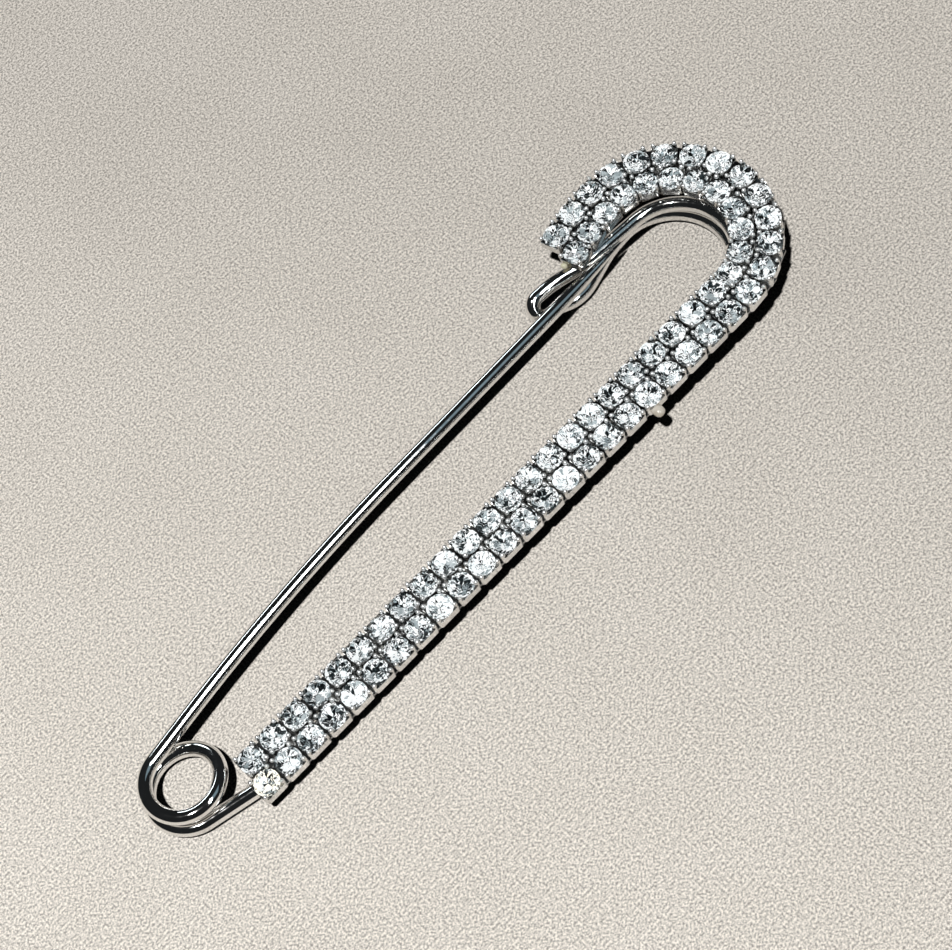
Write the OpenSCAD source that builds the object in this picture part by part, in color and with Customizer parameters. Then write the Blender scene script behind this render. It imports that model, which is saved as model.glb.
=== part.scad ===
/* [Wire] */
// Diameter of the wire that the whole pin is bent from
wire_d = 1.55; // [1.3:0.05:1.8]
// Clear space where one stretch of wire crosses over another
cross_gap = 0.12; // [0.1:0.01:0.3]
// Clear space where the frame wire ends and the stem begins
split_gap = 0.08; // [0.06:0.01:0.2]

/* [Coil] */
// Radius of the upper turn of the coil, to the middle of the wire
coil_r = 3.7; // [3.4:0.1:4.2]
// Extra radius of the lower turn, which opens out into the leg
coil_flare = 0.35; // [0.2:0.05:0.6]
// Place on the upper turn where the frame wire meets the stem
split_angle = 160; // [150:1:170]
// Direction in which the lower turn runs out into the leg
leg_out = -13; // [-16:1:-10]

/* [Leg and head] */
// Straight lead from the coil to the bend of the leg
lead_len = 5.4; // [5:0.1:6]
// Radius of the small bends in the leg
bend_r = 8; // [6:0.5:12]
// Direction of the leg under the band, seen from above
leg_dir = 2; // [1.5:0.1:2.5]
// Rise of the leg and the head from the coil to the far end
rise = 1.45; // [1.2:0.05:1.7]
// Length of the straight leg
leg_len = 65.6; // [60:0.1:70]
// Radius of the wire round the head
head_r = 6.3; // [6:0.1:7]
// Angle that the wire turns round the head
head_turn = 173; // [171:1:175]

/* [Catch] */
// Straight stretch between the head and the catch
catch_run = 6.5; // [6:0.1:7]
// Outward jog of the wire just before the catch
catch_jog = 11; // [9:1:13]
// Distance between the two legs of the catch, seen from above
catch_gap = 1.8; // [1.7:0.05:2]
// Radius of the loose end that follows the head
return_r = 6.55; // [6.3:0.05:6.8]
// Angle that the loose end turns round the head
return_turn = 120; // [105:1:135]

/* [Stem] */
// Straight lead of the stem where it leaves the coil
stem_lead = 4.7; // [4:0.1:6]
// Radius of the gentle bow in the stem
bow_r = 245; // [200:5:300]
// Angle of the gentle bow in the stem
bow_turn = 7.5; // [6:0.5:9]
// Distance from the stem to the lower leg of the catch, seen from above
catch_inset = 1; // [0.95:0.05:1.1]
// Length of the tapered point
point_len = 11.7; // [10.5:0.1:12.1]
// Diameter of the blunt end of the point
point_d = 0.22; // [0.15:0.01:0.4]

/* [Band] */
// Distance between cups along the band
cup_pitch = 2.94; // [2.85:0.01:3.05]
// Distance between cups along the inside of the head
inner_pitch = 2.65; // [2.6:0.01:2.75]
// Distance between the two rows
row_gap = 2.85; // [2.8:0.01:2.95]
// How far the inner row starts behind the outer one
row_shift = 0.6; // [0:0.05:0.8]
// Width of one cup
cup_w = 2.7; // [2.62:0.01:2.76]
// Height of the cup walls
wall_h = 1.07; // [0.95:0.01:1.2]
// Open notch between one cup and the next
notch = 0.22; // [0.15:0.01:0.3]
// Depth of the wider notch after every seventh pair
wide_notch = 0.3; // [0.2:0.01:0.4]
// Radius of the band round the head
band_r = 8.95; // [8.7:0.05:9.2]
// Radius of the gentle curve at the upper end of the band
tail_r = 26; // [24:1:30]
// Angle of the gentle curve at the upper end of the band
tail_turn = 18; // [16:1:20]

/* [Stones] */
// Diameter of a stone
stone_d = 2.46; // [2.3:0.01:2.5]
// Width of the flat table as a share of the diameter
table_share = 0.6; // [0.5:0.01:0.65]
// Height of a stone above its widest line
crown_h = 0.46; // [0.38:0.01:0.52]
// Depth of a stone below its widest line
pavilion_h = 0.86; // [0.75:0.01:0.9]

/* [Hidden] */

wire_r = wire_d / 2;
floor_level = wire_r;
upper_level = wire_r + wire_d + cross_gap;
stack = upper_level - floor_level;
pitch_r = 12;
knuckle = 0.004;
knuckle_r = wire_r + knuckle;

// Small bends before and after the catch
jog_r = 10;
jog_len = 1.4;
jog_back_r = 12;
catch_aim = 3;
hook_r = 4;
hook_turn = 19.5;
hook_len = 0.65;
sweep_r = 5;
sweep_turn = 37;
sweep_len = 3;
ease_r = 14.5;
ease_turn = 188 - head_turn;
aim_back = 1.5;

// Steps of a wire are [roll, radius, turn]: the bend plane rolls, then the wire turns left.
// A right turn is negative. A straight has no turn, and its length stands for the radius.
coil_tilt = atan(stack / (2 * coil_r));
coil_steps = [
    [0, coil_r, 270 - split_angle],
    [-coil_tilt, coil_r / cos(coil_tilt), 180],
    [-coil_tilt, coil_r + coil_flare, 180 + leg_out],
    [0, lead_len, 0],
    [0, bend_r, leg_dir - leg_out],
    [90, pitch_r, rise],
];
head_steps = [
    [-90, leg_len, 0],
    [0, head_r, head_turn],
    [0, catch_run, 0],
    [0, jog_r, -catch_jog],
    [0, jog_len, 0],
    [0, jog_back_r, catch_jog + catch_aim],
];
to_jog = concat(coil_steps, head_steps);
to_catch = concat(to_jog, [levelling(path_end(coil_start(), to_jog))]);
catch_start = path_end(coil_start(), to_catch);
catch_drop = catch_start[2][3] - floor_level;
catch_tilt = atan(catch_drop / catch_gap);
catch_r = norm([catch_drop, catch_gap]) / 2;
end_steps = [
    [-90 - catch_tilt, catch_r, 180],
    [-catch_tilt, hook_r, -hook_turn],
    [0, hook_len, 0],
    [0, sweep_r, sweep_turn],
    [0, sweep_len, 0],
    [0, ease_r, -ease_turn],
    [0, return_r, -return_turn],
];
frame_steps = concat(to_catch, end_steps);

// The stem is aimed so that its point passes just inside the lower leg of the catch.
catch_foot = path_end(catch_start, [end_steps[0]]);
aim = [catch_foot[0][3] - aim_back, catch_foot[1][3] - catch_inset];
bow_end = [stem_lead + bow_r * sin(bow_turn), coil_r - bow_r * (1 - cos(bow_turn))];
bow_dir = [cos(bow_turn), -sin(bow_turn)];
along = bow_end * bow_dir;
stem_run = sqrt(along * along - bow_end * bow_end + aim * aim) - along;
stem_far = bow_end + stem_run * bow_dir;
stem_dir = atan2(aim[1], aim[0]) - atan2(stem_far[1], stem_far[0]);
stem_start_angle = split_angle - split_gap / coil_r * 180 / PI;
stem_steps = [
    [0, coil_r, stem_dir + 90 - stem_start_angle],
    [0, stem_lead, 0],
    [0, bow_r, -bow_turn],
    [0, stem_run, 0],
];

// The band lies on the plane of the leg and the head.
leg_start = path_end(coil_start(), coil_steps);
plane = leg_start * rolled(-90) * turned(-leg_dir);
head_centre = leg_len * [cos(leg_dir), sin(leg_dir)] + head_r * [-sin(leg_dir), cos(leg_dir)];
band_shift = [0.1, 0.88];
band_centre = head_centre + band_shift;
glue_gap = 0.05;
band_lift = wire_r + glue_gap;
coil_clear = 0.25;
leg_share = 0.6;
coil_reach = sqrt(pow(coil_r + wire_r, 2) - pow(coil_r * leg_share, 2));
first_cup = coil_reach - leg_start[0][3] + cup_w / 2 + coil_clear;
straight_len = band_centre[0] - first_cup;
pairs = floor(straight_len / cup_pitch) + 1;
outer_len = straight_len + arc_len(band_r + row_gap / 2, 180) + arc_len(tail_r + row_gap / 2, tail_turn);
inner_len = straight_len + arc_len(band_r - row_gap / 2, 180) + arc_len(tail_r - row_gap / 2, tail_turn);
outer_count = floor((outer_len - cup_pitch / 2) / cup_pitch) + 1;
inner_from = row_shift + (pairs - 1) * cup_pitch;
inner_more = floor((inner_len + row_shift - inner_from - cup_pitch / 2) / inner_pitch);
web_h = 0.4;
claw_r = 0.24;
claw_in = 0.21;
claw_lean = 14;
claw_over = 0.22;
claw_h = crown_h + claw_over;
claw_sink = 0.05;
solder = 0.02;
web_reach = 0.1;
girdle_gap = 0.1;
stone_level = band_lift + wall_h + girdle_gap;
culet_r = 0.16;
star_share = 0.85;
star_level = 0.55;
wide_every = 7;
wide_first = 3;

// Every place in a row is [distance along the row, whether a wider notch follows].
outer_row = [for (k = [0 : outer_count - 1]) [k * cup_pitch, (k + 1) % wide_every == wide_first]];
inner_row = concat(
    [for (k = [0 : pairs - 1]) [row_shift + k * cup_pitch, (k + 1) % wide_every == wide_first]],
    [for (k = [1 : inner_more]) [inner_from + k * inner_pitch, k % wide_every == wide_first]]
);

function turned(a) = [[cos(a), -sin(a), 0, 0], [sin(a), cos(a), 0, 0], [0, 0, 1, 0], [0, 0, 0, 1]];
function rolled(a) = [[1, 0, 0, 0], [0, cos(a), -sin(a), 0], [0, sin(a), cos(a), 0], [0, 0, 0, 1]];
function moved(v) = [[1, 0, 0, v[0]], [0, 1, 0, v[1]], [0, 0, 1, v[2]], [0, 0, 0, 1]];
function arc_len(r, a) = r * a * PI / 180;

// Frame on the coil's upper turn, facing the way the frame wire runs
function coil_start() = turned(split_angle) * moved([coil_r, 0, upper_level]) * turned(90);

// Frame at the end of one step, and of a list of steps
function step_end(m, s) = m * rolled(s[0]) * (
    s[2] == 0 ? moved([s[1], 0, 0])
    : moved([0, sign(s[2]) * s[1], 0]) * turned(s[2]) * moved([0, -sign(s[2]) * s[1], 0])
);
function path_end(m, steps, i = 0) = i == len(steps) ? m : path_end(step_end(m, steps[i]), steps, i + 1);

// Step that brings a wire back to the level, whichever way it slopes and leans
function levelling(m) = [90 - atan2(m[2][1], m[2][2]), pitch_r, -asin(m[2][0])];

// Place and direction at a distance along a row, on the plane of the band
function on_band(side, s) =
    let (
        r = band_r + side * row_gap / 2,
        tail = tail_r + side * row_gap / 2,
        round_s = s - straight_len,
        tail_s = round_s - arc_len(r, 180),
        a = min(max(round_s, 0) / arc_len(r, 180), 1) * 180,
        b = max(tail_s, 0) / arc_len(tail, 1)
    )
    round_s < 0 ? [first_cup + s, band_centre[1] - r, 0]
    : tail_s < 0 ? [band_centre[0] + r * sin(a), band_centre[1] - r * cos(a), a]
    : [band_centre[0] - tail * sin(b), band_centre[1] + band_r - tail_r + tail * cos(b), 180 + b];

module arc_piece(r, turn) {
    translate([0, r, 0])
        rotate([0, 0, -90])
            rotate_extrude(angle = turn)
                translate([r, 0])
                    circle(r = wire_r, $fn = 48);
}

module wire_piece(size, turn) {
    if (turn == 0) rotate([0, 90, 0]) cylinder(r = wire_r, h = size, $fn = 48);
    else if (turn > 0) arc_piece(size, turn);
    else mirror([0, 1, 0]) arc_piece(size, -turn);
}

module beyond(size, turn) {
    if (turn == 0) translate([size, 0, 0]) children();
    else
        translate([0, sign(turn) * size, 0])
            rotate([0, 0, turn])
                translate([0, -sign(turn) * size, 0])
                    children();
}

// Draws the steps of a wire one after the other, and the children at its end
module wire(steps, i = 0) {
    if (i < len(steps))
        rotate([steps[i][0], 0, 0]) {
            if (i > 0) sphere(r = knuckle_r, $fn = 48);
            wire_piece(steps[i][1], steps[i][2]);
            beyond(steps[i][1], steps[i][2]) wire(steps, i + 1) children();
        }
    else {
        if ($children > 0) sphere(r = knuckle_r, $fn = 48);
        children();
    }
}

module frame_wire() {
    color("silver")
        rotate([0, 0, split_angle])
            translate([coil_r, 0, upper_level])
                rotate([0, 0, 90])
                    wire(frame_steps);
}

module pin_stem() {
    color("gainsboro")
        rotate([0, 0, stem_start_angle])
            translate([coil_r, 0, upper_level])
                rotate([0, 0, -90])
                    wire(stem_steps)
                        rotate([0, 90, 0])
                            cylinder(r1 = wire_r, r2 = point_d / 2, h = point_len, $fn = 48);
}

// Puts the children at every place of a row; $wide tells them of a wider notch
module along_row(row, side) {
    multmatrix(plane)
        for (p = row) {
            at = on_band(side, p[0]);
            $wide = p[1];
            translate([at[0], at[1], 0]) rotate([0, 0, at[2]]) children();
        }
}

module cup_block() {
    translate([-(cup_pitch - notch) / 2, -cup_w / 2, band_lift])
        cube([cup_pitch - notch, cup_w, wall_h]);
    web_w = row_gap + solder - ($wide ? 2 * wide_notch : 0);
    translate([-cup_pitch / 2, -web_w / 2, band_lift])
        cube([cup_pitch + web_reach, web_w, web_h]);
}

// Pointed prongs at the corners of a cup, leaning in over the stone
module claws() {
    reach = cup_w / 2 - claw_in;
    for (x = [-1, 1], y = [-1, 1])
        translate([x * reach, y * reach, band_lift + wall_h - claw_sink])
            rotate([y * claw_lean, -x * claw_lean, 0])
                rotate([0, 0, 45])
                    cylinder(r1 = claw_r, r2 = 0, h = claw_h, $fn = 4);
}

// Hollow of a cup, a little larger than the underside of its stone
module seat() {
    hull() {
        translate([0, 0, stone_level - pavilion_h - girdle_gap]) cylinder(r = culet_r, h = solder, $fn = 4);
        translate([0, 0, band_lift + wall_h]) cylinder(r = stone_d / 2, h = claw_sink, $fn = 8);
    }
}

module cup_band() {
    color("gainsboro")
        difference() {
            union() {
                along_row(outer_row, 1) cup_block();
                along_row(inner_row, -1) cup_block();
                along_row(outer_row, 1) claws();
                along_row(inner_row, -1) claws();
            }
            along_row(outer_row, 1) seat();
            along_row(inner_row, -1) seat();
        }
}

module stone() {
    r = stone_d / 2;
    translate([0, 0, stone_level])
        hull() {
            translate([0, 0, crown_h * star_level])
                cylinder(r1 = r * star_share, r2 = r * table_share, h = crown_h * (1 - star_level), $fn = 8);
            translate([0, 0, -pavilion_h])
                rotate([0, 0, 11.25])
                    cylinder(r1 = 0, r2 = r, h = pavilion_h, $fn = 16);
        }
}

module stones() {
    color("white") {
        along_row(outer_row, 1) stone();
        along_row(inner_row, -1) stone();
    }
}

frame_wire();
pin_stem();
cup_band();
stones();
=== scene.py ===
"""Safety pin brooch: polished wire, a band of cup-set stones along one leg, on a plain pale floor."""

import math
import random

import bpy
from mathutils import Matrix, Vector


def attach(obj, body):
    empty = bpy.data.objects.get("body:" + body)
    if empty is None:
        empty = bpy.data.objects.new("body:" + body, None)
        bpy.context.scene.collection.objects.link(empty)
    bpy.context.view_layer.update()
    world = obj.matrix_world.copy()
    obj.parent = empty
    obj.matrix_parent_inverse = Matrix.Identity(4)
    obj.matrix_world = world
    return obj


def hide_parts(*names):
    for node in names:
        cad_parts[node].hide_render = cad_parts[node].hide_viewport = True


MM = 0.001

# Driving sizes of the pin, in millimetres and degrees
WIRE_R = 0.775
STACK = 1.67
COIL_R = 3.7
COIL_FLARE = 0.35
SPLIT_ANGLE = 160
SPLIT_SEAM = 0.006
LEG_OUT = -13
LEAD_LEN = 5.4
BEND_R = 8
LEG_DIR = 2
RISE = 1.45
LEG_LEN = 65.6
HEAD_R = 6.3
HEAD_TURN = 173
CATCH_RUN = 6.5
CATCH_JOG = 11
CATCH_GAP = 1.8
RETURN_R = 6.55
RETURN_TURN = 120
PITCH_R = 12
STEM_LEAD = 4.7
BOW_R = 245
BOW_TURN = 7.5
CATCH_INSET = 1
AIM_BACK = 1.5
POINT_LEN = 11.7
POINT_R = 0.11
POINT_FULLNESS = 0.85
SEAM_ROUND = 0.004
END_ROUND = 0.12
LOW = WIRE_R
HIGH = WIRE_R + STACK

# Small bends before and after the catch
JOG_R = 10
JOG_LEN = 1.4
JOG_BACK_R = 12
CATCH_AIM = 3
HOOK_R = 4
HOOK_TURN = 19.5
HOOK_LEN = 0.65
SWEEP_R = 5
SWEEP_TURN = 37
SWEEP_LEN = 3
EASE_R = 14.5
EASE_TURN = 188 - HEAD_TURN

# Driving sizes of the band
CUP_PITCH = 2.94
INNER_PITCH = 2.65
ROW_GAP = 2.85
ROW_SHIFT = 0.6
CUP_W = 2.7
NOTCH = 0.22
WIDE_NOTCH = 0.3
WIDE_NOTCH_EVERY = 7
WIDE_NOTCH_FIRST = 3
BAND_R = 8.95
TAIL_R = 26
TAIL_TURN = 18
HEAD_SHIFT_X = 0.1
HEAD_SHIFT_Y = 0.88
COIL_SHARE = 0.6
COIL_CLEAR = 0.25
CUP_CLEAR = 0.1
GLUE_GAP = 0.05
BAND_LIFT = WIRE_R + GLUE_GAP
WEB_GAP = 0.02
WEB_TOP = 0.3
WEB_INSET = 0.15
STONE_R = 1.38
GIRDLE_Z = 1.12


def turned(a):
    return Matrix.Rotation(math.radians(a), 4, "Z")


def rolled(a):
    return Matrix.Rotation(math.radians(a), 4, "X")


def moved(x, y, z=0.0):
    return Matrix.Translation((x, y, z))


def arc_len(r, a):
    return math.radians(a) * r


# How finely a wire is sampled, in degrees and millimetres. A very gentle bow has its own number of parts.
ARC_STEP = 4.0
STRAIGHT_STEP = 1.5
GENTLE_R = 100
GENTLE_PARTS = 24


# A wire is a list of steps [roll, radius, turn]. A straight has a length for its radius, and no turn.
def part_way(m, step, share):
    """The frame at a share of a step that starts at m."""
    roll, size, turn = step
    m = m @ rolled(roll)
    if turn == 0:
        return m @ moved(size * share, 0)
    side = math.copysign(size, turn)
    return m @ moved(0, side) @ turned(turn * share) @ moved(0, -side)


def path_end(m, steps):
    for step in steps:
        m = part_way(m, step, 1)
    return m


def place_and_way(m):
    return m.translation.copy(), (m @ Vector((1, 0, 0, 0))).to_3d()


def path_samples(m, steps):
    """Points and directions along a wire."""
    out = [place_and_way(m)]
    for step in steps:
        if step[1] > GENTLE_R:
            count = GENTLE_PARTS
        elif step[2]:
            count = max(2, math.ceil(abs(step[2]) / ARC_STEP))
        else:
            count = max(2, math.ceil(step[1] / STRAIGHT_STEP))
        for i in range(1, count + 1):
            out.append(place_and_way(part_way(m, step, i / count)))
        m = part_way(m, step, 1)
    return out


def levelling(m):
    return [90 - math.degrees(math.atan2(m[2][1], m[2][2])), PITCH_R, -math.degrees(math.asin(m[2][0]))]


def coil_frame(angle, facing):
    return turned(angle) @ moved(COIL_R, 0, HIGH) @ turned(facing)


coil_tilt = math.degrees(math.atan(STACK / (2 * COIL_R)))
coil_steps = [
    [0, COIL_R, 270 - SPLIT_ANGLE],
    [-coil_tilt, COIL_R / math.cos(math.radians(coil_tilt)), 180],
    [-coil_tilt, COIL_R + COIL_FLARE, 180 + LEG_OUT],
    [0, LEAD_LEN, 0],
    [0, BEND_R, LEG_DIR - LEG_OUT],
    [90, PITCH_R, RISE],
]
head_steps = [
    [-90, LEG_LEN, 0],
    [0, HEAD_R, HEAD_TURN],
    [0, CATCH_RUN, 0],
    [0, JOG_R, -CATCH_JOG],
    [0, JOG_LEN, 0],
    [0, JOG_BACK_R, CATCH_JOG + CATCH_AIM],
]
start = coil_frame(SPLIT_ANGLE, 90)
to_jog = coil_steps + head_steps
to_catch = to_jog + [levelling(path_end(start, to_jog))]
catch_start = path_end(start, to_catch)
catch_drop = catch_start.translation.z - LOW
catch_tilt = math.degrees(math.atan(catch_drop / CATCH_GAP))
end_steps = [
    [-90 - catch_tilt, math.hypot(catch_drop, CATCH_GAP) / 2, 180],
    [-catch_tilt, HOOK_R, -HOOK_TURN],
    [0, HOOK_LEN, 0],
    [0, SWEEP_R, SWEEP_TURN],
    [0, SWEEP_LEN, 0],
    [0, EASE_R, -EASE_TURN],
    [0, RETURN_R, -RETURN_TURN],
]
frame_steps = to_catch + end_steps

# The stem is aimed at the catch: its straight ends AIM_BACK before the foot of the catch's hairpin.
catch_foot = path_end(catch_start, end_steps[:1]).translation
aim = Vector((catch_foot.x - AIM_BACK, catch_foot.y - CATCH_INSET))
bow = math.radians(BOW_TURN)
bow_end = Vector((STEM_LEAD + BOW_R * math.sin(bow), COIL_R - BOW_R * (1 - math.cos(bow))))
bow_dir = Vector((math.cos(bow), -math.sin(bow)))
along = bow_end.dot(bow_dir)
stem_run = math.sqrt(along ** 2 - bow_end.length_squared + aim.length_squared) - along
stem_far = bow_end + stem_run * bow_dir
stem_dir = math.degrees(math.atan2(aim.y, aim.x) - math.atan2(stem_far.y, stem_far.x))
stem_angle = SPLIT_ANGLE - math.degrees(SPLIT_SEAM / COIL_R)
stem_steps = [
    [0, COIL_R, stem_dir + 90 - stem_angle],
    [0, STEM_LEAD, 0],
    [0, BOW_R, -BOW_TURN],
    [0, stem_run, 0],
    [0, POINT_LEN, 0],
]

# The band lies on the plane of the leg and the head.
leg_start = path_end(start, coil_steps)
plane = leg_start @ rolled(-90) @ turned(-LEG_DIR)
leg = math.radians(LEG_DIR)
head_x = LEG_LEN * math.cos(leg) - HEAD_R * math.sin(leg)
head_y = LEG_LEN * math.sin(leg) + HEAD_R * math.cos(leg)
BAND_CENTRE = Vector((head_x + HEAD_SHIFT_X, head_y + HEAD_SHIFT_Y))
coil_reach = math.sqrt((COIL_R + WIRE_R) ** 2 - (COIL_R * COIL_SHARE) ** 2)
FIRST_CUP = coil_reach - leg_start.translation.x + CUP_W / 2 + COIL_CLEAR
STRAIGHT_LEN = BAND_CENTRE.x - FIRST_CUP
PAIRS = math.floor(STRAIGHT_LEN / CUP_PITCH) + 1


def row_len(side):
    r = BAND_R + side * ROW_GAP / 2
    tail = TAIL_R + side * ROW_GAP / 2
    return STRAIGHT_LEN + arc_len(r, 180) + arc_len(tail, TAIL_TURN)


def on_band(side, s):
    """Place, direction and local radius at a distance along a row; the radius is 0 on the straight."""
    r = BAND_R + side * ROW_GAP / 2
    tail = TAIL_R + side * ROW_GAP / 2
    round_s = s - STRAIGHT_LEN
    tail_s = round_s - arc_len(r, 180)
    if round_s < 0:
        return BAND_CENTRE + Vector((round_s, -r)), 0.0, 0.0
    if tail_s < 0:
        a = round_s / r
        return BAND_CENTRE + Vector((r * math.sin(a), -r * math.cos(a))), math.degrees(a), r
    b = tail_s / tail
    centre = BAND_CENTRE + Vector((0, BAND_R - TAIL_R))
    return centre + Vector((-tail * math.sin(b), tail * math.cos(b))), 180 + math.degrees(b), tail


def widens(number):
    """Whether a wider notch follows the cup with this number."""
    return number % WIDE_NOTCH_EVERY == WIDE_NOTCH_FIRST


def row_places(side):
    """Every cup of a row as (frame in millimetres, pitch, local radius, whether a wider notch follows)."""
    inner_from = ROW_SHIFT + (PAIRS - 1) * CUP_PITCH
    if side > 0:
        count = math.floor((row_len(1) - CUP_PITCH / 2) / CUP_PITCH) + 1
        spots = [(k * CUP_PITCH, CUP_PITCH, widens(k + 1)) for k in range(count)]
    else:
        more = math.floor((row_len(-1) + ROW_SHIFT - inner_from - CUP_PITCH / 2) / INNER_PITCH)
        spots = [(ROW_SHIFT + k * CUP_PITCH, CUP_PITCH, widens(k + 1)) for k in range(PAIRS)]
        spots += [(inner_from + k * INNER_PITCH, INNER_PITCH, widens(k)) for k in range(1, more + 1)]
    out = []
    for s, pitch, wide in spots:
        at, heading, radius = on_band(side, s)
        out.append((plane @ moved(at.x, at.y, BAND_LIFT) @ turned(heading), pitch, radius, wide))
    return out


def add_object(name, data):
    obj = bpy.data.objects.new(name, data)
    bpy.context.scene.collection.objects.link(obj)
    return obj


# Meshes
def make_object(name, verts, faces, materials, smooth=True, indices=None):
    mesh = bpy.data.meshes.new(name)
    mesh.from_pydata([tuple(c * MM for c in v) for v in verts], [], faces)
    mesh.polygons.foreach_set("use_smooth", [smooth] * len(mesh.polygons))
    for material in materials:
        mesh.materials.append(material)
    if indices:
        mesh.polygons.foreach_set("material_index", indices)
    mesh.validate()
    mesh.update()
    return add_object(name, mesh)


def swept(samples, radii, sides=40):
    """A tube round the samples, closed flat at both ends."""
    verts, faces = [], []
    normal = samples[0][1].orthogonal().normalized()
    for (p, t), r in zip(samples, radii):
        normal = (normal - normal.dot(t) * t).normalized()
        other = t.cross(normal)
        for k in range(sides):
            a = 2 * math.pi * k / sides
            verts.append(p + r * (math.cos(a) * normal + math.sin(a) * other))
    rings = len(samples)
    for i in range(rings - 1):
        for k in range(sides):
            n = (k + 1) % sides
            faces.append((i * sides + k, i * sides + n, (i + 1) * sides + n, (i + 1) * sides + k))
    faces.append(tuple(range(sides))[::-1])
    faces.append(tuple(range((rings - 1) * sides, rings * sides)))
    return verts, faces


def with_round_ends(samples, radii, first, last):
    """Puts rings that round the two end edges of a wire in place of its end samples."""
    def cap(at, r, size, way):
        p, t = at
        rings = []
        for a in (0.0, 30.0, 60.0, 90.0):
            a = math.radians(a)
            rings.append(((p + way * t * (size * math.sin(a) - size), t), r - size * (1 - math.cos(a))))
        return rings
    head = cap(samples[0], radii[0], first, -1)
    tail = cap(samples[-1], radii[-1], last, 1)
    middle = list(zip(samples, radii))[1:-1]
    rings = head[::-1] + middle + tail
    return [s for s, _ in rings], [r for _, r in rings]


def wire_object(name, m, steps, material, point=False):
    """A wire along the steps; one with a point tapers to its far end."""
    samples = path_samples(m, steps)
    radii = [WIRE_R] * len(samples)
    if point:
        tip = samples[-1][0]
        for i, (p, _) in enumerate(samples):
            left = (p - tip).length
            if left < POINT_LEN:
                share = math.sin(left / POINT_LEN * math.pi / 2) ** POINT_FULLNESS
                radii[i] = POINT_R + (WIRE_R - POINT_R) * share
    samples, radii = with_round_ends(samples, radii, SEAM_ROUND, POINT_R * 0.9 if point else END_ROUND)
    verts, faces = swept(samples, radii)
    obj = make_object(name, verts, faces, [material])
    for polygon in list(obj.data.polygons)[-2:]:
        polygon.use_smooth = False
    return obj


# One cup: a thin square wall with a rim that rises at the corners, and a bead over the stone at each corner
SIDE_STEPS = 14
CORNER_R = 0.32
CORNER_REACH = 0.36
WALL_T = 0.13
WALL_THINS = 0.05
LEVELS = 9
CUP_FLOOR = 0.12
RIM_Z = 0.93
RIM_RISE = 0.1
PRONG_RISE = 0.42
PRONG_WOBBLE = 0.03
LEAN_FROM = 1.05
LEAN = 0.6
BEAD_R = 0.25
BEAD_R_SPREAD = 0.02
BEAD_INSET = 0.26
BEAD_Z = 1.4
CUP_LIFT = 0.02
CUP_ROLL = 0.8

# Places in the list of the band's materials. CUP_PAINTED_SHADE is the cup metal darkened into painted shade:
# it covers the webs and every face of a cup but the outer walls and rim of its open sides and the beads.
CUP_METAL, CUP_PAINTED_SHADE, PRONG_METAL = 0, 1, 2


def cup_outline(half_x, half_y):
    """Points, outward normals and corner weights round a square with round corners."""
    out = []
    for side in range(4):
        turn = Matrix.Rotation(math.radians(90 * side), 2)
        a, b = (half_x, half_y) if side % 2 == 0 else (half_y, half_x)
        for i in range(SIDE_STEPS):
            t = -1 + 2 * (i + 0.5) / SIDE_STEPS
            y = t * b
            over = abs(y) - (b - CORNER_R)
            x, n = a, Vector((1.0, 0.0))
            if over > 0:
                angle = math.asin(min(over / CORNER_R, 1)) * 0.5
                n = Vector((math.cos(angle), math.copysign(math.sin(angle), y)))
                centre = Vector((a - CORNER_R, math.copysign(b - CORNER_R, y)))
                x, y = centre + n * CORNER_R
            corner = math.exp(-((b - abs(t * b)) / CORNER_REACH) ** 2)
            out.append((turn @ Vector((x, y)), turn @ n, corner))
    return out


def add_bead(verts, faces, centre, radius, rings=5, sides=9):
    """A small ball that ends a prong."""
    base = len(verts)
    for i in range(1, rings):
        lift = math.pi * i / rings
        for k in range(sides):
            a = 2 * math.pi * k / sides
            way = Vector((math.sin(lift) * math.cos(a), math.sin(lift) * math.sin(a), math.cos(lift)))
            verts.append(centre + radius * way)
    top = len(verts)
    verts += [centre + Vector((0, 0, radius)), centre - Vector((0, 0, radius))]
    for k in range(sides):
        n = (k + 1) % sides
        for i in range(rings - 2):
            row = base + i * sides
            faces.append((row + k, row + sides + k, row + sides + n, row + n))
        faces.append((top, base + k, base + n))
        last = base + (rings - 2) * sides
        faces.append((top + 1, last + n, last + k))


def lit_step(j, open_sides):
    """Whether a step of the outline belongs to an open side or to the corner next to one. There the outer
    wall keeps the bright metal; elsewhere the cup is painted shade.
    """
    side, step = divmod(j, SIDE_STEPS)
    return (
        side in open_sides
        or step >= SIDE_STEPS - 2 and (side + 1) % 4 in open_sides
        or step < 2 and (side - 1) % 4 in open_sides
    )


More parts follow.
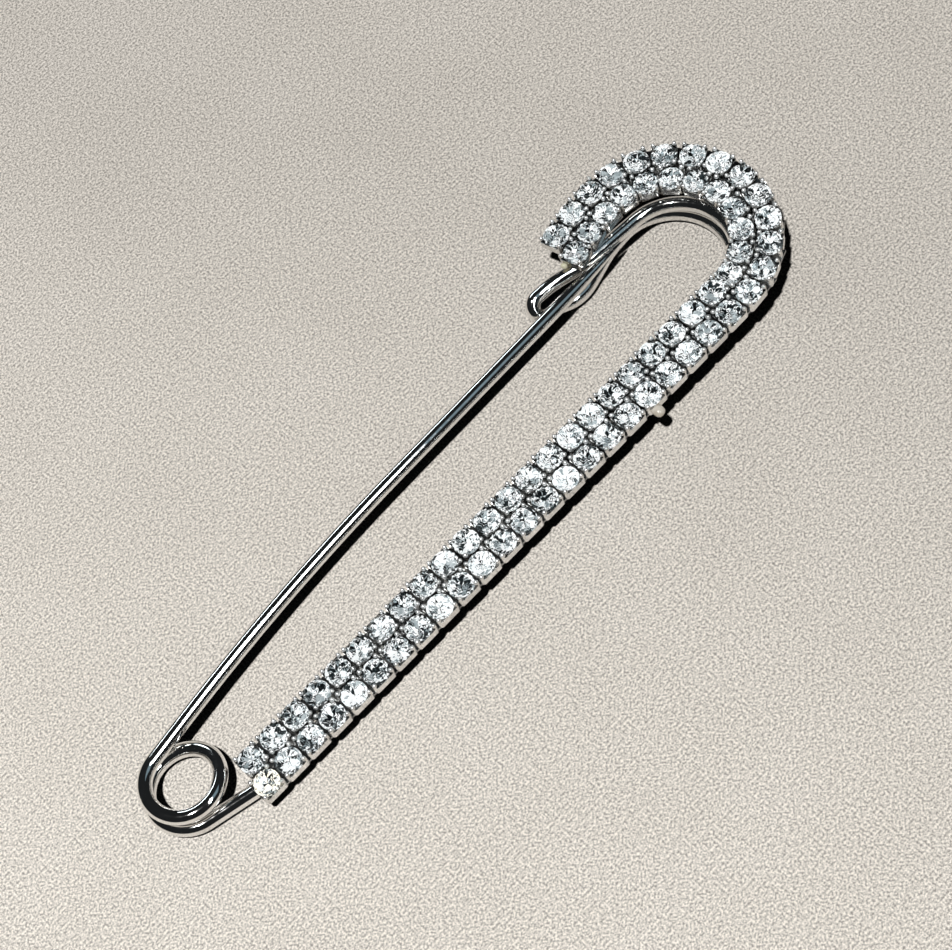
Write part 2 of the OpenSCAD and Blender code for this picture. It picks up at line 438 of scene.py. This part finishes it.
def cup_parts(rng, open_sides):
    """Points and faces of one cup, the metal of each face, and how many faces come before its beads."""
    half_x, half_y = (CUP_PITCH - NOTCH) / 2, CUP_W / 2
    verts, faces, metals = [], [], []
    ring = cup_outline(half_x, half_y)
    count = len(ring)
    wobble = [rng.uniform(-PRONG_WOBBLE, PRONG_WOBBLE) for _ in range(4)]
    for inward in (0, 1):
        for level in range(LEVELS + 1):
            f = level / LEVELS
            if inward:
                f = 1 - f
            for j, (p, n, corner) in enumerate(ring):
                prong = (PRONG_RISE + wobble[j * 4 // count]) * corner ** 3
                z = (RIM_Z + RIM_RISE * corner + prong) * f
                lean = max(0.0, z - LEAN_FROM) * LEAN * corner
                q = p - n * (lean + inward * (WALL_T - WALL_THINS * f))
                verts.append(Vector((q.x, q.y, max(z, CUP_FLOOR) if inward else z)))
    rings = 2 * (LEVELS + 1)
    for i in range(rings - 1):
        for j in range(count):
            n = (j + 1) % count
            faces.append((i * count + j, i * count + n, (i + 1) * count + n, (i + 1) * count + j))
            lit = i <= LEVELS and lit_step(j, open_sides)
            metals.append(CUP_METAL if lit else CUP_PAINTED_SHADE)
    faces.append(tuple(range(count))[::-1])
    faces.append(tuple(range((rings - 1) * count, rings * count)))
    walls = len(faces)
    metals += [CUP_PAINTED_SHADE] * 2
    for x in (-1, 1):
        for y in (-1, 1):
            z = BEAD_Z + rng.uniform(-PRONG_WOBBLE, PRONG_WOBBLE)
            centre = Vector((x * (half_x - BEAD_INSET), y * (half_y - BEAD_INSET), z))
            add_bead(verts, faces, centre, BEAD_R + rng.uniform(-BEAD_R_SPREAD, BEAD_R_SPREAD))
    metals += [PRONG_METAL] * (len(faces) - walls)
    return verts, faces, metals, walls


def add_box(verts, faces, m, low, high):
    base = len(verts)
    for x in (low[0], high[0]):
        for y in (low[1], high[1]):
            for z in (low[2], high[2]):
                verts.append(m @ Vector((x, y, z)))
    for face in ((0, 1, 3, 2), (4, 6, 7, 5), (0, 4, 5, 1), (2, 3, 7, 6), (0, 2, 6, 4), (1, 5, 7, 3)):
        faces.append(tuple(base + k for k in face))


def squeezed(v, pitch, radius):
    """Narrows a cup where the band's curve leaves it less room than its own width."""
    if not radius:
        return v
    room = pitch * (radius - v.y) / radius - CUP_CLEAR
    full = CUP_PITCH - NOTCH
    return Vector((v.x * min(1.0, room / full), v.y, v.z))


def build_band(metals):
    """Both rows of cups, with a low web from each cup to the next."""
    rng = random.Random(7)
    verts, faces, rounded, indices = [], [], [], []
    for side in (1, -1):
        places = row_places(side)
        for k, (m, pitch, radius, wide) in enumerate(places):
            open_sides = {3 if side > 0 else 1}
            if k == 0:
                open_sides.add(2)
            if k == len(places) - 1:
                open_sides.add(0)
            own_verts, own_faces, own_metals, walls = cup_parts(rng, open_sides)
            indices += own_metals
            lift = moved(0, 0, rng.uniform(-CUP_LIFT, CUP_LIFT)) @ rolled(rng.uniform(-CUP_ROLL, CUP_ROLL))
            base = len(verts)
            verts += [m @ lift @ squeezed(v, pitch, radius) for v in own_verts]
            faces += [tuple(base + i for i in face) for face in own_faces]
            rounded += [i >= walls for i in range(len(own_faces))]
            web = ROW_GAP / 2 - (WIDE_NOTCH if wide else WEB_GAP)
            if k < len(places) - 1:
                outer = min(web, CUP_W / 2 - WEB_INSET)
                low, high = (-outer, web) if side > 0 else (-web, outer)
                add_box(verts, faces, m, (0, low, WEB_GAP), (pitch, high, WEB_TOP))
                rounded += [False] * 6
                indices += [CUP_PAINTED_SHADE] * 6
    obj = make_object("cup_band_walls", verts, faces, metals, indices=indices)
    obj.data.polygons.foreach_set("use_smooth", rounded)
    return obj


# Swell of a lump of glue along its X and its Y, as (height, number of waves)
DROP_SWELLS = ((0.06, 3), (0.05, 4))


def build_drop(name, place, size, material, rng):
    """A lump of glue: a ball stretched to a size, a little uneven."""
    verts, faces = [], []
    add_bead(verts, faces, Vector((0, 0, 0)), 1.0, rings=12, sides=20)
    bumps = [rng.uniform(0, math.tau) for _ in DROP_SWELLS]
    out = []
    for v in verts:
        swell = 1
        for (height, waves), along_axis, bump in zip(DROP_SWELLS, v, bumps):
            swell += height * math.sin(waves * along_axis + bump)
        out.append(place @ Vector((v.x * size[0] * swell, v.y * size[1] * swell, v.z * size[2])))
    return make_object(name, out, faces, [material])


# Cut stones: table, star, kite and girdle facets over a foiled pavilion. Each ring of a stone's points is
# (number of points, radius as a share of STONE_R, height, angle of the first point).
CROWN_H = 0.46
PAVILION_H = 0.86
STONE_RINGS = (
    (8, 0.56, CROWN_H, 22.5),
    (8, 0.8, CROWN_H * 0.58, 0),
    (16, 1, 0.0, 0),
    (16, 1, -0.06, 0),
    (16, 0.7, -PAVILION_H * 0.36, 11.25),
    (8, 0.36, -PAVILION_H * 0.7, 0),
)

# The mixes list places in the stones' materials: 0 glass, 1 light foil, 2 dark, 3 mid and 4 warm. The foils
# are painted highlight, painted shade, a painted mid tone and a painted warm glint; the rim mix holds more
# painted shade than the core mix.
RIM_MIX = (1, 1, 1, 1, 1, 2, 2, 2, 2, 2, 2, 3, 3)
CORE_MIX = (1, 1, 1, 1, 2, 2, 2, 2, 3, 3, 3)
PAINTED_GLINT_MIX = (1, 1, 1, 3, 2)
PAINTED_FLASH_MIX = (4, 4, 4, 1, 3, 2)

# Stones with a painted highlight, as (side, number along the row). They take mostly the light foil, and the
# flash stone takes the warm painted glint.
PAINTED_GLINT_STONES = {(1, 4), (1, 8), (1, 10), (1, 14), (1, 18), (1, 29), (-1, 15), (-1, 21)}
PAINTED_FLASH_STONE = (1, 0)

# Facets near the same patch share one foil in PATCH_SHARE of the cases. Patches are (number, radius, height).
RIM_PATCHES = (8, STONE_R * 0.85, -0.2)
CORE_PATCHES = (5, STONE_R * 0.35, -0.6)
PATCH_SHARE = 0.45
FOIL_SHARES = (0.7, 1.3)
FOIL_DEPTH = 0.97
STONE_TILT = 3.5
STONE_GAP = 0.03
SEAT_SPREAD = 0.02


def point_ring(count, r, z, first):
    angles = [math.radians(first + 360 * k / count) for k in range(count)]
    return [Vector((r * math.cos(a), r * math.sin(a), z)) for a in angles]


def stone_points():
    points = []
    for count, share, z, first in STONE_RINGS:
        points += point_ring(count, STONE_R * share, z, first)
    return points + [Vector((0, 0, -PAVILION_H))]


def stone_faces():
    """Faces of a stone and which of them are foiled."""
    # First points of the table, star, girdle, under, middle and lower rings, and the culet
    T, S, G, U, M, L, C = 0, 8, 16, 32, 48, 64, 72
    faces = [(tuple(range(T, T + 8)), 0)]
    for k in range(8):
        n, b = (k + 1) % 8, (k - 1) % 8
        faces.append(((T + k, T + b, S + k), 0))
        faces.append(((S + k, G + 2 * k, G + 2 * k + 1), 0))
        faces.append(((S + n, G + 2 * k + 1, G + (2 * k + 2) % 16), 0))
        faces.append(((T + k, S + k, G + 2 * k + 1, S + n), 0))
        faces.append(((L + k, M + 2 * k, M + (2 * k - 1) % 16), 1))
        faces.append(((L + k, M + 2 * k, L + n), 1))
        faces.append(((L + n, M + 2 * k, M + 2 * k + 1), 1))
        faces.append(((C, L + k, L + n), 1))
    for k in range(16):
        n = (k + 1) % 16
        faces.append(((G + k, G + n, U + n, U + k), 0))
        faces.append(((M + k, U + k, U + n), 1))
        faces.append(((U + n, M + k, M + n), 1))
    return faces


def split_foil(points, pattern, rng):
    """Splits every foiled facet about a point near its middle, for a finer speckle of painted highlight and
    painted shade.
    """
    out = []
    for face, foiled in pattern:
        if not foiled:
            out.append((face, 0))
            continue
        shares = [rng.uniform(*FOIL_SHARES) for _ in face]
        middle = sum((points[k] * share for k, share in zip(face, shares)), Vector()) / sum(shares)
        points = points + [middle * FOIL_DEPTH]
        for k in range(len(face)):
            out.append(((face[k], face[(k + 1) % len(face)], len(points) - 1), 1))
    return points, out


def stone_seat(m, rng):
    """Place of a stone in its cup, a little tilted, shifted and turned."""
    tip = rolled(rng.uniform(-STONE_TILT, STONE_TILT))
    tip = tip @ Matrix.Rotation(math.radians(rng.uniform(-STONE_TILT, STONE_TILT)), 4, "Y")
    x, y = rng.uniform(-SEAT_SPREAD, SEAT_SPREAD), rng.uniform(-SEAT_SPREAD, SEAT_SPREAD)
    return m @ moved(x, y, GIRDLE_Z) @ tip @ turned(rng.uniform(0, 45))


def stone_mixes(place):
    """The mix of foils for each patch of the stone at (side, number along the row)."""
    rim_mix, core_mix = RIM_MIX, CORE_MIX
    if place in PAINTED_GLINT_STONES:
        rim_mix = core_mix = PAINTED_GLINT_MIX
    if place == PAINTED_FLASH_STONE:
        rim_mix = core_mix = PAINTED_FLASH_MIX
    return [rim_mix] * RIM_PATCHES[0] + [core_mix] * CORE_PATCHES[0]


def build_stones(glass, foils):
    rng = random.Random(23)
    points, pattern = split_foil(stone_points(), stone_faces(), rng)
    patch_spots = [
        turned(360 * i / count) @ Vector((r, 0, z))
        for count, r, z in (RIM_PATCHES, CORE_PATCHES)
        for i in range(count)
    ]
    outward = []
    for face, foiled in pattern:
        a, b, c = (points[k] for k in face[:3])
        middle = sum((points[k] for k in face), Vector()) / len(face)
        flip = (b - a).cross(c - a).dot(middle - Vector((0, 0, -0.1))) < 0
        near = min(range(len(patch_spots)), key=lambda i: (patch_spots[i] - middle).length)
        outward.append((face[::-1] if flip else face, near if foiled else None))
    verts, faces, indices = [], [], []
    for side in (1, -1):
        for k, (m, pitch, _, _) in enumerate(row_places(side)):
            seat = stone_seat(m, rng)
            base = len(verts)
            fit = min(1.0, (pitch - STONE_GAP) / (2 * STONE_R))
            verts += [seat @ (p * fit) for p in points]
            faces += [tuple(base + i for i in face) for face, _ in outward]
            mixes = stone_mixes((side, k))
            shades = [rng.choice(mix) for mix in mixes]
            for _, patch in outward:
                if patch is None:
                    indices.append(0)
                elif rng.random() < PATCH_SHARE:
                    indices.append(shades[patch])
                else:
                    indices.append(rng.choice(mixes[patch]))
    return make_object("stones_cut", verts, faces, [glass, *foils], smooth=False, indices=indices)


# Materials
def new_material(name):
    material = bpy.data.materials.new(name)
    material.use_nodes = True
    tree = material.node_tree
    shader = next(n for n in tree.nodes if n.type == "BSDF_PRINCIPLED")
    return material, tree, shader


def add_noise(tree, scale, detail, rough=0.5):
    coords = tree.nodes.new("ShaderNodeTexCoord")
    noise = tree.nodes.new("ShaderNodeTexNoise")
    noise.inputs["Scale"].default_value = scale
    noise.inputs["Detail"].default_value = detail
    noise.inputs["Roughness"].default_value = rough
    tree.links.new(coords.outputs["Object"], noise.inputs["Vector"])
    return noise


def add_ramp(tree, source, stops):
    ramp = tree.nodes.new("ShaderNodeValToRGB")
    elements = ramp.color_ramp.elements
    while len(elements) < len(stops):
        elements.new(0.5)
    for element, (at, colour) in zip(elements, stops):
        element.position = at
        element.color = (*colour, 1)
    tree.links.new(source, ramp.inputs["Fac"])
    return ramp


def add_bump(tree, shader, height, strength, distance):
    bump = tree.nodes.new("ShaderNodeBump")
    bump.inputs["Strength"].default_value = strength
    bump.inputs["Distance"].default_value = distance
    tree.links.new(height, bump.inputs["Height"])
    tree.links.new(bump.outputs["Normal"], shader.inputs["Normal"])


def grey(v):
    return (v, v, v)


def metal_material(name, light, dark, rough_low, rough_high, wave):
    material, tree, shader = new_material(name)
    shader.inputs["Metallic"].default_value = 1.0
    tint = add_noise(tree, 420, 4)
    ramp = add_ramp(tree, tint.outputs["Fac"], [(0.35, dark), (0.6, light)])
    tree.links.new(ramp.outputs["Color"], shader.inputs["Base Color"])
    haze = add_noise(tree, 1500, 5, 0.6)
    rough = add_ramp(tree, haze.outputs["Fac"], [(0.35, grey(rough_low)), (0.75, grey(rough_high))])
    tree.links.new(rough.outputs["Color"], shader.inputs["Roughness"])
    ripple = add_noise(tree, 260, 2)
    add_bump(tree, shader, ripple.outputs["Fac"], 1.0, wave)
    return material


def glass_material():
    """Clear glass that lets the key light through to the foil behind it."""
    material, tree, shader = new_material("cut_glass")
    shader.inputs["Base Color"].default_value = (0.98, 0.995, 1.0, 1)
    shader.inputs["Transmission Weight"].default_value = 1.0
    shader.inputs["IOR"].default_value = 1.58
    smear = add_noise(tree, 900, 3)
    rough = add_ramp(tree, smear.outputs["Fac"], [(0.5, grey(0.0)), (0.85, grey(0.04))])
    tree.links.new(rough.outputs["Color"], shader.inputs["Roughness"])
    path = tree.nodes.new("ShaderNodeLightPath")
    clear = tree.nodes.new("ShaderNodeBsdfTransparent")
    mix = tree.nodes.new("ShaderNodeMixShader")
    output = next(n for n in tree.nodes if n.type == "OUTPUT_MATERIAL")
    tree.links.new(path.outputs["Is Shadow Ray"], mix.inputs["Fac"])
    tree.links.new(shader.outputs["BSDF"], mix.inputs[1])
    tree.links.new(clear.outputs["BSDF"], mix.inputs[2])
    tree.links.new(mix.outputs["Shader"], output.inputs["Surface"])
    return material


def foil_material(name, low, high, metal, rough, painted_glow=0.0):
    """Backing of a pavilion facet, in four painted foils. Their painted highlights, painted shade and painted
    glow give the stones their black and white speckle of painted reflections.
    """
    material, tree, shader = new_material(name)
    shader.inputs["Metallic"].default_value = metal
    shader.inputs["Roughness"].default_value = rough
    tint = add_noise(tree, 1600, 2)
    ramp = add_ramp(tree, tint.outputs["Fac"], [(0.35, low), (0.65, high)])
    tree.links.new(ramp.outputs["Color"], shader.inputs["Base Color"])
    # Painted glow: the foil gives off its own colour as light, though it is no lamp.
    tree.links.new(ramp.outputs["Color"], shader.inputs["Emission Color"])
    shader.inputs["Emission Strength"].default_value = painted_glow
    return material


def glue_material(name, low, high):
    material, tree, shader = new_material(name)
    tint = add_noise(tree, 1400, 3)
    ramp = add_ramp(tree, tint.outputs["Fac"], [(0.35, low), (0.65, high)])
    tree.links.new(ramp.outputs["Color"], shader.inputs["Base Color"])
    shader.inputs["Roughness"].default_value = 0.18
    shader.inputs["Transmission Weight"].default_value = 0.25
    shader.inputs["IOR"].default_value = 1.45
    ripple = add_noise(tree, 900, 2)
    add_bump(tree, shader, ripple.outputs["Fac"], 0.6, 0.00005)
    return material


def multiplied(tree, first, second):
    mix = tree.nodes.new("ShaderNodeMix")
    mix.data_type = "RGBA"
    mix.blend_type = "MULTIPLY"
    mix.inputs["Factor"].default_value = 1.0
    colours = [socket for socket in mix.inputs if socket.type == "RGBA"]
    tree.links.new(first, colours[0])
    tree.links.new(second, colours[1])
    return next(socket for socket in mix.outputs if socket.type == "RGBA")


def floor_material():
    material, tree, shader = new_material("floor_stone")
    grain = add_noise(tree, 4200, 2, 0.7)
    cloud = add_noise(tree, 60, 5, 0.6)
    fine = add_ramp(tree, grain.outputs["Fac"], [(0.36, grey(0.44)), (0.5, grey(0.97)), (0.64, grey(1.42))])
    sand = [(0.3, (0.58, 0.54, 0.487)), (0.5, (0.60, 0.56, 0.505)), (0.7, (0.615, 0.575, 0.522))]
    wide = add_ramp(tree, cloud.outputs["Fac"], sand)
    # Painted light: the floor gets paler towards the picture's bottom, a painted falloff of light
    coords = tree.nodes.new("ShaderNodeTexCoord")
    down = tree.nodes.new("ShaderNodeVectorMath")
    down.operation = "DOT_PRODUCT"
    down.inputs[1].default_value = from_picture((-0.25, -1, 0))
    tree.links.new(coords.outputs["Object"], down.inputs[0])
    fade = tree.nodes.new("ShaderNodeMapRange")
    fade.inputs["From Min"].default_value = -0.075
    fade.inputs["From Max"].default_value = 0.015
    tree.links.new(down.outputs["Value"], fade.inputs["Value"])
    painted_falloff = add_ramp(tree, fade.outputs["Result"], [(0.0, grey(0.88)), (1.0, grey(1.2))])
    product = multiplied(tree, wide.outputs["Color"], fine.outputs["Color"])
    product = multiplied(tree, product, painted_falloff.outputs["Color"])
    tree.links.new(product, shader.inputs["Base Color"])
    shader.inputs["Roughness"].default_value = 0.9
    shader.inputs["Specular IOR Level"].default_value = 0.2
    add_bump(tree, shader, grain.outputs["Fac"], 0.25, 0.00006)
    return material


# Frame and pieces
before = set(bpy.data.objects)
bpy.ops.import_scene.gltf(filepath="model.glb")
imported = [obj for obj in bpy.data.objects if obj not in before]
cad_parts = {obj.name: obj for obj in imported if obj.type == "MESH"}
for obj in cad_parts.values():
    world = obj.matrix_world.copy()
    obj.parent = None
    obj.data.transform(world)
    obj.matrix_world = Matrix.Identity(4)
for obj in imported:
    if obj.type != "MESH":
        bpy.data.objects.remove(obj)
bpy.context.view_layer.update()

wire_metal = metal_material("polished_wire", (0.90, 0.89, 0.87), (0.80, 0.79, 0.77), 0.03, 0.10, 0.000006)
cup_metal = metal_material("cup_metal", (0.88, 0.87, 0.85), (0.72, 0.71, 0.69), 0.10, 0.26, 0.000008)
glass = glass_material()
# The foils are painted light: the light, dark and mid foils stand for glints, shade and reflections in the
# facets, the warm one for a warm glint, and three of them glow.
foils = [
    foil_material("foil_painted_highlight", (0.92, 0.97, 0.98), (1.0, 1.0, 1.0), 0.1, 0.3, 0.25),
    foil_material("foil_painted_shade", (0.001, 0.002, 0.003), (0.022, 0.034, 0.038), 0.6, 0.15),
    foil_material("foil_painted_midtone", (0.26, 0.32, 0.34), (0.62, 0.68, 0.70), 0.3, 0.25, 0.08),
    foil_material("foil_painted_warm_glint", (1.0, 0.94, 0.78), (1.0, 0.98, 0.9), 0.1, 0.3, 0.4),
]
# Painted shade: a darker copy of the cup metal for the cups' hollows, closed sides, floors and webs.
cup_painted_shade = metal_material("cup_painted_shade", (0.36, 0.36, 0.35), (0.12, 0.12, 0.12), 0.12, 0.3, 0.000008)
prong_metal = metal_material("prong_metal", (0.96, 0.96, 0.95), (0.80, 0.80, 0.79), 0.32, 0.5, 0.000008)
clear_glue = glue_material("clear_glue", (0.60, 0.54, 0.44), (0.78, 0.73, 0.64))
old_glue = glue_material("old_glue", (0.62, 0.60, 0.40), (0.86, 0.84, 0.66))

frame_piece = wire_object("frame_wire_polished", coil_frame(SPLIT_ANGLE, 90), frame_steps, wire_metal)
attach(frame_piece, "frame")
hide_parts("frame_wire")

stem_piece = wire_object("pin_stem_polished", coil_frame(stem_angle, -90), stem_steps, wire_metal, point=True)
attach(stem_piece, "stem")
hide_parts("pin_stem")

band_piece = build_band([cup_metal, cup_painted_shade, prong_metal])
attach(band_piece, "frame")
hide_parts("cup_band")

stones_piece = build_stones(glass, foils)
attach(stones_piece, "frame")
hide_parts("stones")

# Glue that was left on the outer wall and at the band's far end. GLUE_AT is the distance along the outer row.
GLUE_AT = 52.45
GLUE_OUT, GLUE_Z = 0.35, 0.45
RESIDUE_OUT, RESIDUE_SIDE, RESIDUE_Z = 0.1, -0.65, 0.4
at, heading, _ = on_band(1, GLUE_AT)
on_row = plane @ moved(at.x, at.y, BAND_LIFT) @ turned(heading)
on_wall = on_row @ moved(0, -CUP_W / 2 - GLUE_OUT, GLUE_Z)
on_end = row_places(-1)[-1][0] @ moved(CUP_PITCH / 2 + RESIDUE_OUT, RESIDUE_SIDE, RESIDUE_Z)
glue_rng = random.Random(5)
drop_piece = build_drop("glue_drop", on_wall, (0.62, 0.75, 0.45), clear_glue, glue_rng)
residue_piece = build_drop("glue_residue", on_end, (0.3, 0.4, 0.35), old_glue, glue_rng)
for piece in (drop_piece, residue_piece):
    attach(piece, "frame")

# The pieces throw sharp dark shadows: the floor gets no light back from them.
for piece in (frame_piece, stem_piece, band_piece, stones_piece, drop_piece, residue_piece):
    piece.visible_diffuse = False

# Floor, camera and lights. The picture's right runs at PICTURE_TURN below +X, seen from above.
PICTURE_TURN = 50.2
TARGET = Vector((41.9, 2.4, 0)) * MM
CAMERA_DISTANCE = 250 * MM
VIEW = Vector((0.22, -0.43, 0.8756))
FOCAL_PX = 2500
PICTURE_W = 952
SENSOR = 36


def from_picture(v):
    """Turns a direction given as (right, up, height) over the floor into the model's frame."""
    return Matrix.Rotation(math.radians(-PICTURE_TURN), 3, "Z") @ Vector(v)


def add_floor():
    half = 1.5
    corners = [(-half, -half, 0), (half, -half, 0), (half, half, 0), (-half, half, 0)]
    mesh = bpy.data.meshes.new("floor")
    mesh.from_pydata(corners, [], [(0, 1, 2, 3)])
    mesh.materials.append(floor_material())
    floor = add_object("floor", mesh)


def add_camera():
    data = bpy.data.cameras.new("camera")
    data.sensor_width = SENSOR
    data.lens = FOCAL_PX * SENSOR / PICTURE_W
    data.clip_start = 0.005
    camera = add_object("camera", data)
    view = from_picture(VIEW).normalized()
    side = from_picture((1, 0, 0))
    right = (side - side.dot(view) * view).normalized()
    up = view.cross(right)
    turn = Matrix((right, up, view)).transposed().to_4x4()
    camera.matrix_world = Matrix.Translation(TARGET + view * CAMERA_DISTANCE) @ turn
    bpy.context.scene.camera = camera


def add_softbox(name, direction, distance, size, power, colour=(1, 1, 1)):
    """A soft light that shows only in the metal and the stones. Its first size runs along the band."""
    data = bpy.data.lights.new(name, "AREA")
    data.shape = "RECTANGLE"
    data.size, data.size_y = size
    data.energy = power
    data.color = colour
    light = add_object(name, data)
    way = Vector(direction).normalized()
    side = (Vector((1, 0, 0)) - way.x * way).normalized()
    turn = Matrix((side, way.cross(side), way)).transposed().to_4x4()
    light.matrix_world = Matrix.Translation(TARGET + way * distance) @ turn
    light.visible_diffuse = False


def add_sun(direction, strength, angle):
    data = bpy.data.lights.new("key", "SUN")
    data.energy = strength
    data.angle = math.radians(angle)
    light = add_object("key", data)
    light.rotation_euler = Vector(direction).to_track_quat("Z", "Y").to_euler()


def set_world():
    world = bpy.data.worlds.new("studio")
    world.use_nodes = True
    background = world.node_tree.nodes["Background"]
    background.inputs["Color"].default_value = (0.85, 0.93, 1.0, 1)
    background.inputs["Strength"].default_value = 0.016
    world.cycles_visibility.diffuse = False
    bpy.context.scene.world = world


add_floor()
add_camera()
set_world()
add_sun((-0.2, -0.06, 1), 3.45, 3)
add_softbox("softbox_over", (0.125, -0.52, 1), 0.505, (0.087, 0.24), 0.45)
add_softbox("softbox_side", (0.112, -0.52, 1), 0.498, (0.014, 0.42), 0.16, (0.85, 0.95, 1.0))
add_softbox("softbox_blue", (0.34, -0.36, 0.9), 0.5, (0.2, 0.3), 0.05, (0.6, 0.85, 1.0))
add_softbox("softbox_far", (0.1, 0.9, 0.55), 0.6, (0.25, 0.05), 0.28, (0.85, 0.95, 1.0))

bpy.context.scene.view_settings.view_transform = "Standard"
